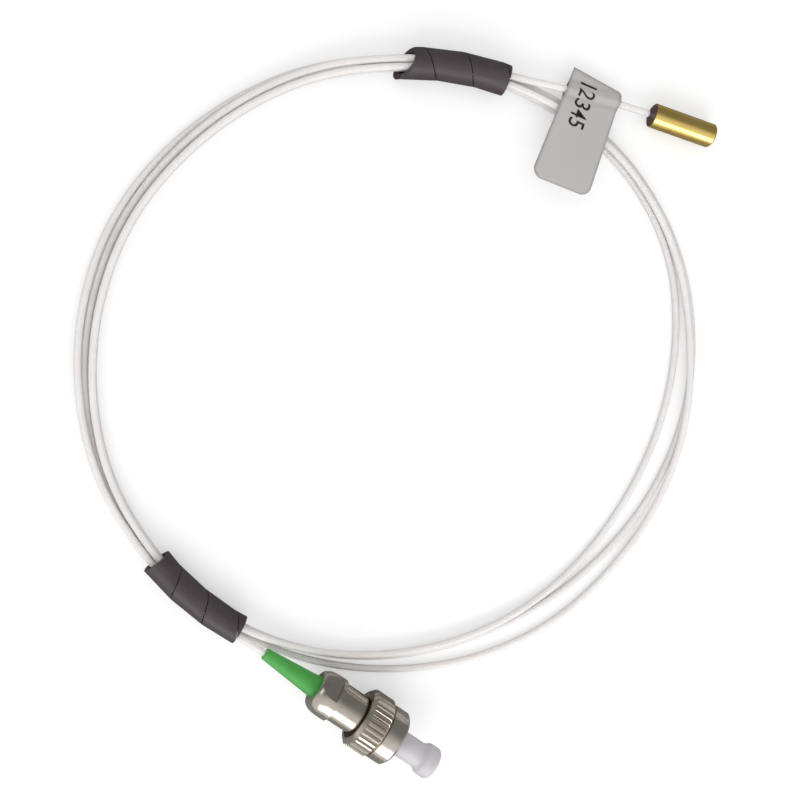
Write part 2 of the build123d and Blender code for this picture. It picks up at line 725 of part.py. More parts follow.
def build():
    raised = Pos(0, 0, BARREL_R)
    nodes = {
        "collimator_tube": raised * collimator_tube(),
        "glass_sleeve": raised * glass_sleeve(),
        "grin_lens": raised * grin_lens(),
        "fibre_capillary": raised * fibre_capillary(),
        "lens_fibre": raised * lens_fibre(),
        "rear_epoxy": raised * rear_epoxy(),
        "upper_wrap": spiral_wrap(UPPER_WRAP, UPPER_WRAP_REACH, UPPER_WRAP_SEAMS,
                                  UPPER_WRAP_LEAN, UPPER_WRAP_TIP),
        "lower_wrap": spiral_wrap(LOWER_WRAP, LOWER_WRAP_REACH, LOWER_WRAP_SEAMS, 0, 0),
        "flag_label": flag_label(),
    }
    nodes.update(fibre_tubes())
    place = connector_plane().location
    connector = (boot, crimp_tube, rear_body, connector_frame, coupling_nut, ferrule,
                 ferrule_flange, ferrule_spring, connector_fibre, dust_cap)
    for piece in connector:
        nodes[piece.__name__] = place * piece()
    return nodes


os.makedirs("parts", exist_ok=True)
for name, shape in build().items():
    export_step(shape, f"parts/{name}.step")
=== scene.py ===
from math import cos, pi, radians, sin

import bmesh
import bpy
from mathutils import Matrix, Vector


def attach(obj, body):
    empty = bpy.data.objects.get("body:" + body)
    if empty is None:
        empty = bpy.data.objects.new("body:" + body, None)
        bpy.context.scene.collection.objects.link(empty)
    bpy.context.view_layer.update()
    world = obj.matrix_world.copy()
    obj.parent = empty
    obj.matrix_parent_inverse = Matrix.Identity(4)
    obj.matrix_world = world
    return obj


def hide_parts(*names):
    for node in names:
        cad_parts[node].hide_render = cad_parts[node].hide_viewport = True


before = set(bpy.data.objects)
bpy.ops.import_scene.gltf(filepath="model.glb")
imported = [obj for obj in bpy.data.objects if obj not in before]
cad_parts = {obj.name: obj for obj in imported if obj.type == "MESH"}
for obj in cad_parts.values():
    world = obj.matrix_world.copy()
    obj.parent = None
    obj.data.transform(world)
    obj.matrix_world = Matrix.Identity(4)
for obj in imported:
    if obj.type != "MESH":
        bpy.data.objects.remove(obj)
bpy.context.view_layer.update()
MM = 0.001
MICRON = 0.000001

# The collimator lies along X with its axis this high. The label and the connector have
# frames of their own, each an origin in millimetres and the directions of its X, Y and Z.
BARREL_R = 1.85
BARREL_REAR = -5.22
LABEL_FRAME = (
    (-15.46, -0.437, 2.195),
    (0.994001, 0.085846, -0.067773),
    (-0.096461, 0.980143, -0.173249),
    (0.051554, 0.178747, 0.982543),
)
CONNECTOR_FRAME = (
    (-40.856417, -97.245398, 3.699532),
    (0.933278, -0.352656, 0.068015),
    (0.353475, 0.935444, 0.0),
    (-0.063624, 0.024042, 0.997684),
)


def place_of(axes):
    """The 4x4 that takes a point in that frame, in metres, to the row's frame."""
    origin, along, across, up = (Vector(v) for v in axes)
    turn = Matrix((along, across, up)).transposed().to_4x4()
    return Matrix.Translation(origin * MM) @ turn


LABEL_PLACE = place_of(LABEL_FRAME)
CONNECTOR_PLACE = place_of(CONNECTOR_FRAME)
BARREL_PLACE = Matrix.Translation((0, 0, BARREL_R * MM))
ALONG_CONNECTOR = CONNECTOR_FRAME[1]
ALONG_BARREL = (1.0, 0.0, 0.0)


# Shader nodes, and the effects that several materials share

def node(tree, kind, place=(0, 0), **settings):
    """A new node with its settings, at that place in the tree's layout."""
    made = tree.nodes.new(kind)
    made.location = place
    for name, value in settings.items():
        setattr(made, name, value)
    return made


def wire(tree, source, target):
    tree.links.new(source, target)


def group(name, takes, gives):
    """A shader node group with named inputs and outputs, and its two end nodes."""
    tree = bpy.data.node_groups.new(name, "ShaderNodeTree")
    for label, kind, value in takes:
        socket = tree.interface.new_socket(label, in_out="INPUT", socket_type=kind)
        socket.default_value = value
    for label, kind in gives:
        tree.interface.new_socket(label, in_out="OUTPUT", socket_type=kind)
    start = node(tree, "NodeGroupInput", (-900, 0))
    end = node(tree, "NodeGroupOutput", (900, 0))
    return tree, start, end


def math_node(tree, operation, first, second, place=(0, 0)):
    """The result of a sum on two values, each a number or another node's output."""
    made = node(tree, "ShaderNodeMath", place, operation=operation)
    for socket, value in zip(made.inputs, (first, second)):
        if isinstance(value, (int, float)):
            socket.default_value = value
        else:
            wire(tree, value, socket)
    return made.outputs[0]


FLOAT, VECTOR = "NodeSocketFloat", "NodeSocketVector"

# Noise keeps mostly between the first two values. Only its peaks count as dust: a speck
# shows from the third value and is full at the fourth.
NOISE_LOW, NOISE_HIGH = 0.3, 0.7
SPECK_SHOWS, SPECK_FULL = 0.68, 0.78


def mottle_group():
    """Soft cloudy variation between two values, stretched along one direction if asked."""
    tree, start, end = group(
        "mottle",
        (("Scale", FLOAT, 400.0), ("Stretch", VECTOR, (1, 1, 1)), ("Detail", FLOAT, 3.0),
         ("Low", FLOAT, 0.0), ("High", FLOAT, 1.0)),
        (("Value", FLOAT),),
    )
    at = node(tree, "ShaderNodeTexCoord", (-700, 200))
    stretched = node(tree, "ShaderNodeVectorMath", (-500, 100), operation="MULTIPLY")
    noise = node(tree, "ShaderNodeTexNoise", (-200, 100))
    spread = node(tree, "ShaderNodeMapRange", (200, 100))
    spread.inputs["From Min"].default_value = NOISE_LOW
    spread.inputs["From Max"].default_value = NOISE_HIGH
    wire(tree, at.outputs["Object"], stretched.inputs[0])
    wire(tree, start.outputs["Stretch"], stretched.inputs[1])
    wire(tree, stretched.outputs[0], noise.inputs["Vector"])
    wire(tree, start.outputs["Scale"], noise.inputs["Scale"])
    wire(tree, start.outputs["Detail"], noise.inputs["Detail"])
    wire(tree, noise.outputs["Fac"], spread.inputs["Value"])
    wire(tree, start.outputs["Low"], spread.inputs["To Min"])
    wire(tree, start.outputs["High"], spread.inputs["To Max"])
    wire(tree, spread.outputs["Result"], end.inputs["Value"])
    return tree


def lathe_marks_group():
    """Fine uneven rings round an axis, as a cutting tool leaves them."""
    tree, start, end = group(
        "lathe_marks",
        (("Axis", VECTOR, (1, 0, 0)), ("Rings per metre", FLOAT, 9000.0)),
        (("Height", FLOAT),),
    )
    at = node(tree, "ShaderNodeTexCoord", (-700, 200))
    along = node(tree, "ShaderNodeVectorMath", (-500, 100), operation="DOT_PRODUCT")
    rings = node(tree, "ShaderNodeTexNoise", (0, 100), noise_dimensions="1D")
    rings.inputs["Scale"].default_value = 1.0
    rings.inputs["Detail"].default_value = 2.0
    wire(tree, at.outputs["Object"], along.inputs[0])
    wire(tree, start.outputs["Axis"], along.inputs[1])
    count = math_node(tree, "MULTIPLY", along.outputs["Value"], start.outputs["Rings per metre"])
    wire(tree, count, rings.inputs["W"])
    wire(tree, rings.outputs["Fac"], end.inputs["Height"])
    return tree


def edge_rub_group():
    """1 where an edge is rubbed, in patches, and 0 on open faces."""
    tree, start, end = group(
        "edge_rub",
        (("Radius", FLOAT, 0.1 * MM), ("Strength", FLOAT, 6.0), ("Patchiness", FLOAT, 900.0)),
        (("Mask", FLOAT),),
    )
    shape = node(tree, "ShaderNodeNewGeometry", (-700, -100))
    rounded = node(tree, "ShaderNodeBevel", (-700, 200), samples=4)
    likeness = node(tree, "ShaderNodeVectorMath", (-450, 100), operation="DOT_PRODUCT")
    at = node(tree, "ShaderNodeTexCoord", (-700, -350))
    patches = node(tree, "ShaderNodeTexNoise", (-450, -300))
    wire(tree, start.outputs["Radius"], rounded.inputs["Radius"])
    wire(tree, rounded.outputs[0], likeness.inputs[0])
    wire(tree, shape.outputs["Normal"], likeness.inputs[1])
    wire(tree, at.outputs["Object"], patches.inputs["Vector"])
    wire(tree, start.outputs["Patchiness"], patches.inputs["Scale"])
    away = math_node(tree, "SUBTRACT", 1.0, likeness.outputs["Value"], (-200, 100))
    strong = math_node(tree, "MULTIPLY", away, start.outputs["Strength"], (0, 100))
    patchy = math_node(tree, "MULTIPLY", strong, patches.outputs["Fac"], (200, 100))
    held = math_node(tree, "MINIMUM", patchy, 1.0, (400, 100))
    wire(tree, held, end.inputs["Mask"])
    return tree


def dust_group():
    """Sparse specks of dust, on faces that look up."""
    tree, start, end = group(
        "dust",
        (("Scale", FLOAT, 2500.0), ("Amount", FLOAT, 0.15)),
        (("Mask", FLOAT),),
    )
    at = node(tree, "ShaderNodeTexCoord", (-700, 100))
    specks = node(tree, "ShaderNodeTexNoise", (-450, 100))
    specks.inputs["Detail"].default_value = 1.0
    pick = node(tree, "ShaderNodeMapRange", (-200, 100))
    pick.inputs["From Min"].default_value = SPECK_SHOWS
    pick.inputs["From Max"].default_value = SPECK_FULL
    shape = node(tree, "ShaderNodeNewGeometry", (-700, -200))
    split = node(tree, "ShaderNodeSeparateXYZ", (-450, -200))
    wire(tree, at.outputs["Object"], specks.inputs["Vector"])
    wire(tree, start.outputs["Scale"], specks.inputs["Scale"])
    wire(tree, specks.outputs["Fac"], pick.inputs["Value"])
    wire(tree, shape.outputs["Normal"], split.inputs[0])
    upward = math_node(tree, "MAXIMUM", split.outputs["Z"], 0.0, (-200, -200))
    lying = math_node(tree, "MULTIPLY", pick.outputs["Result"], upward, (100, 0))
    scaled = math_node(tree, "MULTIPLY", lying, start.outputs["Amount"], (300, 0))
    wire(tree, scaled, end.inputs["Mask"])
    return tree


MOTTLE = mottle_group()
LATHE_MARKS = lathe_marks_group()
EDGE_RUB = edge_rub_group()
DUST = dust_group()


class Finish:
    """One material on its way: the shader, and the helpers that feed its sockets.

    Scales are in cells per metre, depths and radii in metres, and colours are linear.
    """

    def __init__(self, name, **sockets):
        self.material = bpy.data.materials.new(name)
        self.material.use_nodes = True
        self.tree = self.material.node_tree
        self.shader = self.tree.nodes["Principled BSDF"]
        for label, value in sockets.items():
            self.shader.inputs[label.replace("_", " ")].default_value = value
        self.column = -300
        self.height = None

    def use(self, tree, **values):
        """One of the shared effects, with its inputs set."""
        made = node(self.tree, "ShaderNodeGroup", (self.column, 0), node_tree=tree)
        for label, value in values.items():
            made.inputs[label.replace("_", " ")].default_value = value
        self.column -= 200
        return made

    def mottle(self, scale, low, high, stretch=(1, 1, 1), detail=3.0):
        """A cloudy value between low and high."""
        made = self.use(MOTTLE, Scale=scale, Stretch=stretch, Detail=detail, Low=low, High=high)
        return made.outputs["Value"]

    def mix(self, factor, first, second):
        """The first colour where the factor is 0, the second where it is 1."""
        made = node(self.tree, "ShaderNodeMix", (self.column, 200), data_type="RGBA")
        wire(self.tree, factor, made.inputs["Factor"])
        for socket, colour in zip((made.inputs["A"], made.inputs["B"]), (first, second)):
            if isinstance(colour, tuple):
                socket.default_value = (*colour, 1)
            else:
                wire(self.tree, colour, socket)
        self.column -= 200
        return made.outputs["Result"]

    def colour(self, source):
        wire(self.tree, source, self.shader.inputs["Base Color"])

    def roughness(self, source):
        wire(self.tree, source, self.shader.inputs["Roughness"])

    def bump(self, source, depth):
        """Adds one more layer of height, depth in metres, under those already there."""
        made = node(self.tree, "ShaderNodeBump", (self.column, -300))
        made.inputs["Distance"].default_value = depth
        made.inputs["Strength"].default_value = 1.0
        wire(self.tree, source, made.inputs["Height"])
        if self.height is None:
            wire(self.tree, made.outputs[0], self.shader.inputs["Normal"])
        else:
            wire(self.tree, made.outputs[0], self.height.inputs["Normal"])
        self.height = made
        self.column -= 200

    def soften(self, radius):
        """Rounds the shading of edges over that radius, under the bumps already there."""
        made = node(self.tree, "ShaderNodeBevel", (self.column, -500), samples=8)
        made.inputs["Radius"].default_value = radius
        wire(self.tree, made.outputs[0], self.height.inputs["Normal"])
        self.column -= 200


def plated(name, bright, dull, rub, along, rough):
    """Bright metal turned along an axis: lathe marks, a cloudy polish, lighter rubbed edges."""
    finish = Finish(name, Metallic=1.0)
    cloud = finish.mottle(260, 0, 1)
    rubbed = finish.use(EDGE_RUB, Radius=0.12 * MM, Strength=5.0).outputs["Mask"]
    specks = finish.use(DUST, Scale=5000, Amount=0.12).outputs["Mask"]
    polish = finish.mix(cloud, dull, bright)
    worn = finish.mix(rubbed, polish, rub)
    finish.colour(finish.mix(specks, worn, (0.75, 0.73, 0.70)))
    finish.roughness(finish.mottle(700, rough[0], rough[1]))
    rings = finish.use(LATHE_MARKS, Axis=along).outputs["Height"]
    finish.bump(rings, 0.6 * MICRON)
    finish.bump(finish.mottle(1500, 0, 1), 0.4 * MICRON)
    return finish.material


def gold_plate():
    """The collimator's bright gold."""
    return plated("bright_gold_plate", (1.0, 0.76, 0.26), (0.98, 0.68, 0.19),
                  (1.0, 0.80, 0.40), ALONG_BARREL, rough=(0.14, 0.24))


def nickel_plate():
    """The connector's warm nickel."""
    return plated("nickel_plate", (0.70, 0.645, 0.575), (0.58, 0.52, 0.45),
                  (0.84, 0.79, 0.72), ALONG_CONNECTOR, rough=(0.15, 0.26))


def spring_wire():
    """Drawn steel, greyer and duller than the plate round it."""
    return plated("drawn_spring_wire", (0.55, 0.55, 0.56), (0.42, 0.42, 0.43),
                  (0.6, 0.6, 0.6), ALONG_CONNECTOR, rough=(0.3, 0.45))


def milky_tube():
    """Natural plastic tube: pale, and cloudy enough for light to spread inside it."""
    finish = Finish("milky_loose_tube", IOR=1.42, Subsurface_Weight=1.0,
                    Subsurface_Scale=1.8 * MM)
    finish.shader.inputs["Subsurface Radius"].default_value = (1.0, 0.95, 0.95)
    patches = finish.mottle(120, 0, 1)
    finish.colour(finish.mix(patches, (0.76, 0.72, 0.70), (0.83, 0.79, 0.77)))
    finish.roughness(finish.mottle(900, 0.26, 0.4))
    finish.bump(finish.mottle(1800, 0, 1), 2 * MICRON)
    return finish.material


def wrap_plastic():
    """Smoke-coloured soft strip, satin, a little lighter where its edges are rubbed."""
    finish = Finish("smoke_grey_wrap", IOR=1.49, Specular_IOR_Level=0.45)
    patches = finish.mottle(180, 0, 1)
    rubbed = finish.use(EDGE_RUB, Radius=0.12 * MM, Strength=2.0).outputs["Mask"]
    specks = finish.use(DUST, Scale=5200, Amount=0.15).outputs["Mask"]
    plain = finish.mix(patches, (0.052, 0.038, 0.045), (0.070, 0.053, 0.061))
    worn = finish.mix(rubbed, plain, (0.10, 0.082, 0.09))
    finish.colour(finish.mix(specks, worn, (0.4, 0.38, 0.37)))
    finish.roughness(finish.mottle(600, 0.38, 0.52))
    finish.bump(finish.mottle(1100, 0, 1), 6 * MICRON)
    finish.bump(finish.mottle(4200, 0, 1), 2 * MICRON)
    return finish.material


def label_film():
    """Grey film with a satin face, warmer in soft patches, with the grain of its roll."""
    finish = Finish("grey_label_film", IOR=1.46, Specular_IOR_Level=0.4)
    patches = finish.mottle(90, 0, 1)
    finish.colour(finish.mix(patches, (0.50, 0.483, 0.468), (0.545, 0.512, 0.497)))
    finish.roughness(finish.mottle(500, 0.34, 0.46))
    finish.bump(finish.mottle(900, 0, 1, stretch=(3, 0.6, 1)), 3 * MICRON)
    finish.bump(finish.mottle(60, 0, 1, detail=0), 30 * MICRON)
    finish.soften(0.9 * MM)
    return finish.material


def label_ink():
    """Black print, a little uneven."""
    finish = Finish("black_label_ink", IOR=1.5)
    patches = finish.mottle(1800, 0, 1)
    finish.colour(finish.mix(patches, (0.012, 0.011, 0.012), (0.03, 0.028, 0.028)))
    finish.roughness(finish.mottle(700, 0.3, 0.45))
    return finish.material


def boot_rubber():
    """Green moulded rubber with a fine spark-eroded grain."""
    finish = Finish("green_boot_rubber", IOR=1.5, Subsurface_Weight=0.08,
                    Subsurface_Scale=0.5 * MM, Specular_IOR_Level=0.4)
    patches = finish.mottle(200, 0, 1)
    rubbed = finish.use(EDGE_RUB, Radius=0.15 * MM, Strength=4.0).outputs["Mask"]
    specks = finish.use(DUST, Scale=5000, Amount=0.15).outputs["Mask"]
    plain = finish.mix(patches, (0.062, 0.335, 0.062), (0.085, 0.41, 0.08))
    worn = finish.mix(rubbed, plain, (0.16, 0.5, 0.15))
    finish.colour(finish.mix(specks, worn, (0.5, 0.6, 0.5)))
    finish.roughness(finish.mottle(900, 0.38, 0.5))
    finish.bump(finish.mottle(2600, 0, 1), 4 * MICRON)
    return finish.material


def cap_plastic():
    """Milky soft plastic that lets some light through."""
    finish = Finish("milky_cap_plastic", IOR=1.49, Subsurface_Weight=0.6,
                    Subsurface_Scale=1.5 * MM, Transmission_Weight=0.22)
    finish.shader.inputs["Subsurface Radius"].default_value = (1.0, 0.9, 1.0)
    patches = finish.mottle(150, 0, 1)
    finish.colour(finish.mix(patches, (0.70, 0.665, 0.70), (0.76, 0.73, 0.765)))
    finish.roughness(finish.mottle(500, 0.28, 0.42))
    finish.bump(finish.mottle(1300, 0, 1), 3 * MICRON)
    return finish.material


def dark_epoxy():
    """Dark brown glue, glossy and a little uneven."""
    finish = Finish("dark_epoxy", IOR=1.55, Coat_Weight=0.4, Coat_Roughness=0.08)
    patches = finish.mottle(700, 0, 1)
    finish.colour(finish.mix(patches, (0.055, 0.027, 0.022), (0.105, 0.055, 0.042)))
    finish.roughness(finish.mottle(900, 0.2, 0.38))
    finish.bump(finish.mottle(1500, 0, 1, detail=1), 10 * MICRON)
    return finish.material


def optical_glass():
    """Clear glass with the faint violet of a coating that stops reflections."""
    finish = Finish("coated_lens_glass", IOR=1.55, Transmission_Weight=1.0,
                    Coat_Weight=0.3, Coat_Tint=(0.75, 0.6, 1.0, 1))
    patches = finish.mottle(300, 0, 1)
    finish.colour(finish.mix(patches, (0.93, 0.95, 0.96), (0.97, 0.98, 0.99)))
    finish.roughness(finish.mottle(900, 0.01, 0.04))
    return finish.material


def sleeve_glass():
    """Ground glass, as of the sleeve round the lens."""
    finish = Finish("ground_sleeve_glass", IOR=1.47, Transmission_Weight=0.85)
    patches = finish.mottle(500, 0, 1)
    finish.colour(finish.mix(patches, (0.86, 0.9, 0.9), (0.93, 0.95, 0.95)))
    finish.roughness(finish.mottle(1800, 0.12, 0.3))
    finish.bump(finish.mottle(6000, 0, 1), MICRON)
    return finish.material


def white_ceramic():
    """The ferrule's polished ceramic, with faint grinding marks."""
    finish = Finish("white_ceramic", IOR=2.1, Subsurface_Weight=0.15, Subsurface_Scale=0.4 * MM)
    patches = finish.mottle(400, 0, 1)
    finish.colour(finish.mix(patches, (0.84, 0.83, 0.80), (0.9, 0.89, 0.87)))
    finish.roughness(finish.mottle(900, 0.08, 0.18))
    rings = finish.use(LATHE_MARKS, Axis=ALONG_CONNECTOR).outputs["Height"]
    finish.bump(rings, 0.3 * MICRON)
    return finish.material


def dress(piece, material):
    piece.data.materials.clear()
    piece.data.materials.append(material)


def dress_nodes():
    """A finish on every piece of the frame that is shown. Gives the nickel back."""
    nickel = nickel_plate()
    wrap = wrap_plastic()
    glass = sleeve_glass()
    finishes = {
        "collimator_tube": gold_plate(), "glass_sleeve": glass, "fibre_capillary": glass,
        "grin_lens": optical_glass(), "lens_fibre": glass, "connector_fibre": glass,
        "rear_epoxy": dark_epoxy(), "upper_wrap": wrap, "lower_wrap": wrap,
        "flag_label": label_film(), "boot": boot_rubber(), "crimp_tube": nickel,
        "rear_body": nickel, "connector_frame": nickel, "coupling_nut": nickel,
        "ferrule": white_ceramic(), "ferrule_flange": nickel, "ferrule_spring": spring_wire(),
        "dust_cap": cap_plastic(),
    }
    for name, material in finishes.items():
        dress(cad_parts[name], material)
    return nickel


# The loose tube, on the same route as its solids. Angles round the coil and twists are in
# degrees, radii and heights in millimetres. In a wrap, four strands lie in a square with each
# a slot away from its middle both ways. A wrap is the angle of its middle, the radius there,
# its swing inwards and its rise. The lead in and the crimp's seat are along the connector.
TUBE_D = 1.1
TUBE_R = TUBE_D / 2
COIL_MIDDLE = (-32.1, -50.0)
COIL_TURNED = 16.6
SLOT = 0.57
STRAND_SPACING = 1.2
WRAP_HEIGHT = 2.3
STATION_REACH = 12.0
UPPER_WRAP = (79.5, 47.2, 0.5, 0.0)
LOWER_WRAP = (226.2, 46.65, 0.0, 0.7)
LEAD_POINTS = ((-4.32, 0.0, 1.85), (-10.4, 0.0, 1.85), (-21.4, -0.95, 2.6))
CRIMP_SEAT = 7.6
LEAD_IN = 3.0
# Each row is an angle, then the middle radius and the twist of the inner pair of strands, and
# the same of the outer pair.
LEFT_ROWS = (
    (106.0, 46.25, 92, 47.6, -75),
    (121.0, 45.85, 88, 47.4, -55),
    (136.0, 45.8, 92, 47.5, -30),
    (151.0, 46.1, 90, 47.9, 0),
    (167.0, 45.9, 92, 47.7, 25),
    (183.0, 46.0, 90, 47.6, 50),
    (199.0, 46.4, 90, 47.75, 70),
)
# Each row is an angle, then the radius and the height of each of the three strands.
RIGHT_ROWS = (
    (254.0, 48.05, 0.55, 45.95, 1.70, 46.5, 0.55),
    (270.0, 48.45, 0.55, 45.3, 1.45, 46.1, 0.55),
    (286.0, 49.3, 0.55, 44.85, 1.45, 45.65, 0.55),
    (302.0, 49.75, 0.55, 44.6, 0.90, 45.95, 0.55),
    (318.0, 49.5, 0.55, 44.2, 0.55, 46.65, 0.55),
    (334.0, 49.2, 1.35, 44.2, 0.55, 47.9, 0.55),
    (350.0, 48.85, 1.80, 45.1, 0.55, 48.95, 0.55),
    (366.0, 48.4, 1.45, 46.5, 0.55, 49.45, 0.55),
    (382.0, 48.95, 1.45, 48.1, 0.55, 49.75, 0.55),
    (398.0, 48.95, 1.55, 48.35, 0.55, 49.6, 0.55),
    (413.0, 48.3, 1.70, 47.75, 0.60, 49.0, 0.80),
)


def through_wrap(wrap, slot):
    """Three stations of a strand in a wrap whose axis swings inwards and rises."""
    middle, radius, swing, rise = wrap
    return [
        (middle + side * STATION_REACH, radius - side * swing + slot[0],
         WRAP_HEIGHT + rise * (side + 1) / 2 + slot[1])
        for side in (-1, 0, 1)
    ]


def left_side(inner, upper_slot, lower_slot, sign):
    """A strand's stations from the upper wrap, down the left side, through the lower wrap."""
    stations = through_wrap(UPPER_WRAP, upper_slot)
    for angle, inner_middle, inner_twist, outer_middle, outer_twist in LEFT_ROWS:
        middle, twist = (inner_middle, inner_twist) if inner else (outer_middle, outer_twist)
        across = STRAND_SPACING / 2 * cos(radians(twist))
        up = STRAND_SPACING / 2 * sin(radians(twist))
        stations.append((angle, middle + sign * across, TUBE_R + abs(up) + sign * up))
    return stations + through_wrap(LOWER_WRAP, lower_slot)


def coil_stations():
    """The angle, radius and height of every station, from the first wrap to the last."""
    outer_high, outer_low = (SLOT, SLOT), (SLOT, -SLOT)
    inner_high, inner_low = (-SLOT, SLOT), (-SLOT, -SLOT)
    passes = (
        (False, outer_high, outer_low, -1, 0),
        (True, inner_high, inner_high, 1, 1),
        (True, inner_low, inner_low, -1, 2),
        (False, outer_low, outer_high, 1, None),
    )
    stations = []
    for turn, (inner, upper_slot, lower_slot, sign, strand) in enumerate(passes):
        run = left_side(inner, upper_slot, lower_slot, sign)
        if strand is not None:
            run += [(row[0], row[1 + 2 * strand], row[2 + 2 * strand]) for row in RIGHT_ROWS]
        stations += [(angle + 360 * turn, radius, height) for angle, radius, height in run]
    return stations


def route():
    """The route's points in metres, from inside the epoxy to the crimp tube."""
    points = [Vector(p) * MM for p in LEAD_POINTS]
    stations = coil_stations()
    for place, (angle, radius, height) in enumerate(stations[:-1]):
        steps = [stations[place + 1][0] - angle]
        if place > 0:
            steps.append(angle - stations[place - 1][0])
        reach = radius / cos(radians(min(steps) / 2))
        turned = radians(angle + COIL_TURNED)
        points.append(Vector((COIL_MIDDLE[0] + reach * cos(turned),
                              COIL_MIDDLE[1] + reach * sin(turned), height)) * MM)
    points.append(CONNECTOR_PLACE @ Vector((-LEAD_IN * MM, 0, 0)))
    points.append(CONNECTOR_PLACE @ Vector((CRIMP_SEAT * MM, 0, 0)))
    return points


def loose_tube():
    """The whole tube as one curve, in place of its three solids."""
    line = bpy.data.curves.new("loose_tube", "CURVE")
    line.dimensions = "3D"
    line.resolution_u = 10
    line.bevel_depth = TUBE_R * MM
    line.bevel_resolution = 6
    line.use_fill_caps = True
    points = route()
    spline = line.splines.new("NURBS")
    spline.points.add(len(points) - 1)
    for target, point in zip(spline.points, points):
        target.co = (*point, 1)
    spline.order_u = 3
    spline.use_endpoint_u = True
    piece = bpy.data.objects.new("loose_tube", line)
    bpy.context.scene.collection.objects.link(piece)
    dress(piece, milky_tube())
    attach(piece, "collimator_and_lead")
    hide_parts("collimator_lead", "fibre_coil", "connector_lead")
    return piece


# Small pieces that the frame doesn't hold: a glue collar, the nut's thread and the print

def mesh_piece(name, mesh, material, body):
    """The mesh as an object that rides on a body."""
    data = bpy.data.meshes.new(name)
    mesh.to_mesh(data)
    mesh.free()
    piece = bpy.data.objects.new(name, data)
    bpy.context.scene.collection.objects.link(piece)
    dress(piece, material)
    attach(piece, body)
    return piece


# The collar starts where the epoxy ends, that far behind the barrel, and clears the tube by
# its gap, in millimetres.
TURNED_SIDES = 64
EPOXY_OUT = 0.16
COLLAR_GAP = 0.003


def turned_mesh(profile, place):
    """A closed ring turned round X from (along, radius) corners in millimetres."""
    mesh = bmesh.new()
    rings = []
    for step in range(TURNED_SIDES):
        angle = 2 * pi * step / TURNED_SIDES
        rings.append([
            mesh.verts.new(place @ (Vector((x, r * cos(angle), r * sin(angle))) * MM))
            for x, r in profile
        ])
    for here, after in zip(rings, rings[1:] + rings[:1]):
        for a in range(len(profile)):
            b = (a + 1) % len(profile)
            mesh.faces.new((here[a], here[b], after[b], after[a]))
    bmesh.ops.recalc_face_normals(mesh, faces=mesh.faces)
    for face in mesh.faces:
        face.smooth = True
    return mesh


def glue_collar(material):
    """The little ramp of glue that climbs the loose tube where it enters the collimator."""
    rear = BARREL_REAR - EPOXY_OUT
    bore = TUBE_R + COLLAR_GAP
    profile = [
        (rear + 0.10, 1.30), (rear + 0.03, 1.05), (rear - 0.07, 0.80), (rear - 0.22, 0.65),
        (rear - 0.42, 0.585), (rear - 0.46, bore), (rear + 0.10, bore),
    ]
    mesh = turned_mesh(profile, BARREL_PLACE)
    return mesh_piece("glue_collar", mesh, material, "collimator_and_lead")


# The nut's thread, in millimetres along and from the connector's axis. It runs out over a
# quarter of a turn at each end, where its ridge is never quite flat.
THREAD_FROM = 20.0
THREAD_TO = 25.2
THREAD_PITCH = 0.75
THREAD_ROOT_R = 3.803
THREAD_CREST_R = 3.62
THREAD_ROOT_HALF = 0.3
THREAD_CREST_HALF = 0.05
THREAD_STEPS = 48
THREAD_RUNOUT = THREAD_STEPS / 4
THREAD_LEAST = 0.02


def nut_thread(material):
    """The nut's inner thread, a ridge with a vee section wound along its bore."""
    mesh = bmesh.new()
    rows = []
    count = int((THREAD_TO - THREAD_FROM) / THREAD_PITCH * THREAD_STEPS)
    for step in range(count + 1):
        angle = 2 * pi * step / THREAD_STEPS
        fade = min(1.0, step / THREAD_RUNOUT, (count - step) / THREAD_RUNOUT)
        tip = THREAD_ROOT_R - (THREAD_ROOT_R - THREAD_CREST_R) * max(fade, THREAD_LEAST)
        along = THREAD_FROM + THREAD_PITCH * step / THREAD_STEPS
        section = (
            (-THREAD_ROOT_HALF, THREAD_ROOT_R), (-THREAD_CREST_HALF, tip),
            (THREAD_CREST_HALF, tip), (THREAD_ROOT_HALF, THREAD_ROOT_R),
        )
        row = []
        for x, r in section:
            point = Vector((along + x, r * cos(angle), r * sin(angle))) * MM
            row.append(mesh.verts.new(CONNECTOR_PLACE @ point))
        rows.append(row)
    for here, after in zip(rows, rows[1:]):
        for a in range(4):
            b = (a + 1) % 4
            mesh.faces.new((here[a], here[b], after[b], after[a]))
    mesh.faces.new(rows[0])
    mesh.faces.new(list(reversed(rows[-1])))
    bmesh.ops.recalc_face_normals(mesh, faces=mesh.faces)
    return mesh_piece("nut_thread", mesh, material, "nut")


# The print, in millimetres on the label's face, with its line's turn in degrees. Its digits
# are cut into narrow strips over the pocket, the bump that the lead makes in the film, so that
# they can follow it.
PRINT_HEIGHT = 2.7
PRINT_WIDTH = 1.25
PRINT_PITCH = 1.55
PRINT_START = (-1.05, 1.3)
PRINT_TURN = -100.4
INK_HEIGHT = 0.03
POCKET_HALF = 1.7
DRAPE_STEP = 0.1
DRAPE_FROM = 5.0
STROKE_ADDED = 0.004
STROKE_POINTS = 6


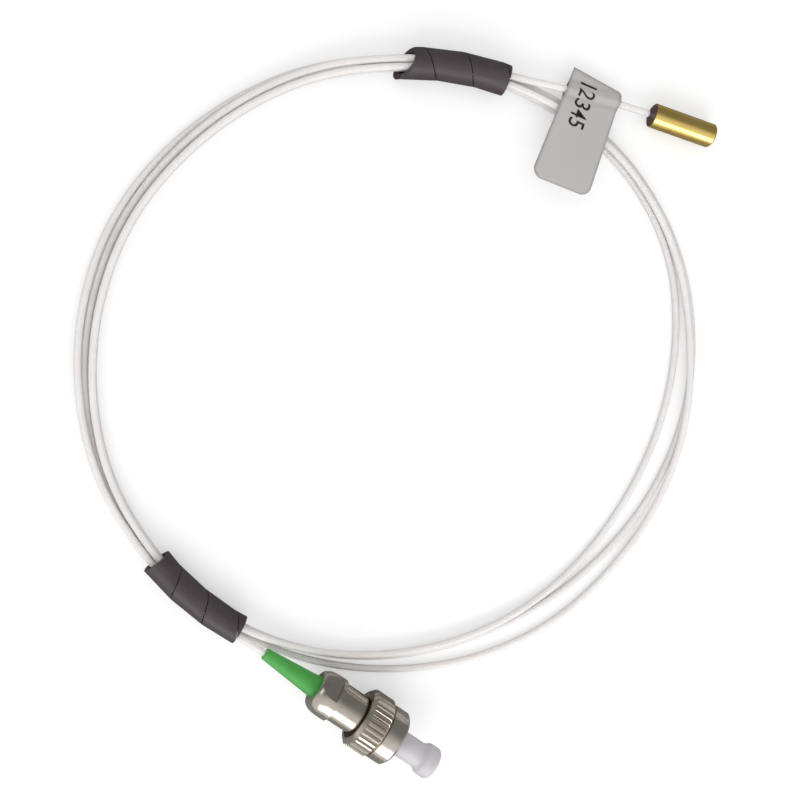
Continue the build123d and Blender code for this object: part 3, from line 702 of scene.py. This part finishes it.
def flat_digits(text):
    """Some digits as one flat mesh, each made as tall and as wide as the print's."""
    mesh = bmesh.new()
    for place, digit in enumerate(text):
        words = bpy.data.curves.new("digit", "FONT")
        words.body = digit
        words.resolution_u = STROKE_POINTS
        words.offset = STROKE_ADDED
        holder = bpy.data.objects.new("digit", words)
        bpy.context.scene.collection.objects.link(holder)
        bpy.context.view_layer.update()
        depsgraph = bpy.context.evaluated_depsgraph_get()
        data = bpy.data.meshes.new_from_object(holder.evaluated_get(depsgraph))
        bpy.data.objects.remove(holder)
        low = Vector([min(vert.co[axis] for vert in data.vertices) for axis in (0, 1)])
        high = Vector([max(vert.co[axis] for vert in data.vertices) for axis in (0, 1)])
        tall = PRINT_HEIGHT / (high.y - low.y)
        wide = PRINT_WIDTH / max(high.x - low.x, (high.y - low.y) / 2)
        centre = (low + high) / 2
        for vert in data.vertices:
            vert.co.x = (vert.co.x - centre.x) * wide + place * PRINT_PITCH
            vert.co.y = (vert.co.y - centre.y) * tall
        mesh.from_mesh(data)
        bpy.data.meshes.remove(data)
    return mesh


def label_print():
    """Plain running digits down the label from its fold, draped over the lead's pocket."""
    mesh = flat_digits("12345")
    turn = Matrix.Rotation(radians(PRINT_TURN), 4, "Z")
    mesh.transform(Matrix.Translation((*PRINT_START, 0)) @ turn)
    strips = int(POCKET_HALF / DRAPE_STEP)
    for step in range(-strips, strips + 1):
        bmesh.ops.bisect_plane(
            mesh, geom=mesh.verts[:] + mesh.edges[:] + mesh.faces[:],
            plane_co=(0, step * DRAPE_STEP, 0), plane_no=(0, 1, 0),
        )
    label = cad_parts["flag_label"]
    to_label = label.matrix_world.inverted() @ LABEL_PLACE
    downwards = to_label.to_3x3() @ Vector((0, 0, -1))
    for vert in mesh.verts:
        above = Vector((vert.co.x, vert.co.y, DRAPE_FROM)) * MM
        _, spot, facing, _ = label.ray_cast(to_label @ above, downwards)
        vert.co = label.matrix_world @ (spot + facing * INK_HEIGHT * MM)
    return mesh_piece("label_print", mesh, label_ink(), "collimator_and_lead")


# The camera, the floor and the light

CAMERA_AT = Vector((-65.29, -37.68, 153.04)) * MM
CAMERA_AIM = Vector((-30.64, -53.65, 0.0)) * MM
CAMERA_UP = Vector((-0.2538, 0.9544, -0.1571))
CAMERA_LENS = 45.0
CAMERA_SENSOR = 36.0
CAMERA_NEAREST = 0.005

# The floor's colour for light and for reflections, and how much it glows where it is seen. It
# fades to plain glowing white between two distances from its middle, in metres.
FLOOR_RADIUS = 2.5
FLOOR_MIDDLE = (-0.032, -0.05, -0.00002)
FLOOR_COLOUR = (0.62, 0.62, 0.62, 1)
FLOOR_MIRRORED = (0.26, 0.255, 0.25, 1)
FLOOR_LIFT = 0.42
FADE_FROM = 0.15
FADE_TO = 0.6

# How strongly the surround lights, and how strongly a surface mirrors it: pale in directions
# whose Y is under PALE_UP_TO, dark in those whose Y is over DARK_FROM.
SURROUND = 0.78
MIRRORED_PALE = 0.72
MIRRORED_DARK = 0.19
PALE_UP_TO = -0.25
DARK_FROM = 0.55

# Each lamp's name, place, width and height in metres, and power in watts
LAMPS = (
    ("soft_key", (0.10, -0.56, 0.38), 0.80, 0.36, 2.2),
    ("soft_fill", (-0.45, 0.20, 0.40), 0.30, 0.30, 0.25),
)


def set_camera():
    """The photo's camera."""
    lens = bpy.data.cameras.new("camera")
    lens.lens = CAMERA_LENS
    lens.sensor_width = CAMERA_SENSOR
    lens.clip_start = CAMERA_NEAREST
    camera = bpy.data.objects.new("camera", lens)
    back = (CAMERA_AT - CAMERA_AIM).normalized()
    right = CAMERA_UP.cross(back).normalized()
    up = back.cross(right)
    turn = Matrix((right, up, back)).transposed().to_4x4()
    camera.matrix_world = Matrix.Translation(CAMERA_AT) @ turn
    bpy.context.scene.collection.objects.link(camera)
    bpy.context.scene.camera = camera


def seen_directly(tree):
    """1 for what the camera sees, or sees through glass, 0 for rays that light or mirror."""
    path = node(tree, "ShaderNodeLightPath", (-900, 300))
    return math_node(tree, "MAXIMUM", path.outputs["Is Camera Ray"],
                     path.outputs["Is Transmission Ray"])


def lay_floor():
    """A pale floor that keeps the soft shadow and mirrors darker than it is."""
    mesh = bmesh.new()
    bmesh.ops.create_circle(mesh, cap_ends=True, segments=96, radius=FLOOR_RADIUS)
    data = bpy.data.meshes.new("floor")
    mesh.to_mesh(data)
    mesh.free()
    floor = bpy.data.objects.new("floor", data)
    floor.location = FLOOR_MIDDLE
    bpy.context.scene.collection.objects.link(floor)
    material = bpy.data.materials.new("pale_floor")
    material.use_nodes = True
    tree = material.node_tree
    shader = tree.nodes["Principled BSDF"]
    shader.inputs["Roughness"].default_value = 0.9
    shader.inputs["Specular IOR Level"].default_value = 0.0
    shader.inputs["Emission Color"].default_value = (1, 1, 1, 1)
    path = node(tree, "ShaderNodeLightPath", (-900, -200))
    shade = node(tree, "ShaderNodeMix", (-300, -200), data_type="RGBA")
    wire(tree, path.outputs["Is Glossy Ray"], shade.inputs["Factor"])
    shade.inputs["A"].default_value = FLOOR_COLOUR
    shade.inputs["B"].default_value = FLOOR_MIRRORED
    at = node(tree, "ShaderNodeTexCoord", (-900, 300))
    away = node(tree, "ShaderNodeVectorMath", (-700, 300), operation="LENGTH")
    far = node(tree, "ShaderNodeMapRange", (-500, 300), interpolation_type="SMOOTHSTEP")
    far.inputs["From Min"].default_value = FADE_FROM
    far.inputs["From Max"].default_value = FADE_TO
    wire(tree, at.outputs["Object"], away.inputs[0])
    wire(tree, away.outputs["Value"], far.inputs["Value"])
    faded = node(tree, "ShaderNodeMix", (-100, 0), data_type="RGBA")
    wire(tree, far.outputs["Result"], faded.inputs["Factor"])
    wire(tree, shade.outputs["Result"], faded.inputs["A"])
    faded.inputs["B"].default_value = (0, 0, 0, 1)
    wire(tree, faded.outputs["Result"], shader.inputs["Base Color"])
    glow = math_node(tree, "MULTIPLY", far.outputs["Result"], 1 - FLOOR_LIFT)
    glow = math_node(tree, "ADD", glow, FLOOR_LIFT)
    lift = math_node(tree, "MULTIPLY", seen_directly(tree), glow)
    wire(tree, lift, shader.inputs["Emission Strength"])
    dress(floor, material)


def lay_light():
    """A white surround that mirrors as a room, dark at the back, and two soft lights."""
    world = bpy.data.worlds.new("studio")
    bpy.context.scene.world = world
    world.use_nodes = True
    tree = world.node_tree
    plain = tree.nodes["Background"]
    plain.inputs["Color"].default_value = (1, 1, 1, 1)
    path = node(tree, "ShaderNodeLightPath", (-900, 300))
    direction = node(tree, "ShaderNodeTexCoord", (-900, -100))
    sideways = node(tree, "ShaderNodeSeparateXYZ", (-700, -100))
    wire(tree, direction.outputs["Generated"], sideways.inputs[0])
    room = node(tree, "ShaderNodeMapRange", (-500, -100), interpolation_type="SMOOTHSTEP")
    room.inputs["From Min"].default_value = PALE_UP_TO
    room.inputs["From Max"].default_value = DARK_FROM
    room.inputs["To Min"].default_value = MIRRORED_PALE - SURROUND
    room.inputs["To Max"].default_value = MIRRORED_DARK - SURROUND
    wire(tree, sideways.outputs["Y"], room.inputs["Value"])
    mirrored = math_node(tree, "MULTIPLY", path.outputs["Is Glossy Ray"], room.outputs["Result"])
    level = math_node(tree, "ADD", mirrored, SURROUND)
    shown = math_node(tree, "MAXIMUM", level, seen_directly(tree))
    wire(tree, shown, plain.inputs["Strength"])
    for name, at, wide, high, power in LAMPS:
        data = bpy.data.lights.new(name, "AREA")
        data.shape = "RECTANGLE"
        data.size = wide
        data.size_y = high
        data.energy = power
        lamp = bpy.data.objects.new(name, data)
        lamp.location = at
        aim = CAMERA_AIM - Vector(at)
        lamp.rotation_euler = aim.to_track_quat("-Z", "Y").to_euler()
        bpy.context.scene.collection.objects.link(lamp)
    bpy.context.scene.view_settings.view_transform = "Standard"


set_camera()
tube_piece = loose_tube()
nickel = dress_nodes()
glue_collar(bpy.data.materials["dark_epoxy"])
nut_thread(nickel)
label_print()
lay_floor()
lay_light()

tuple(route()[0])
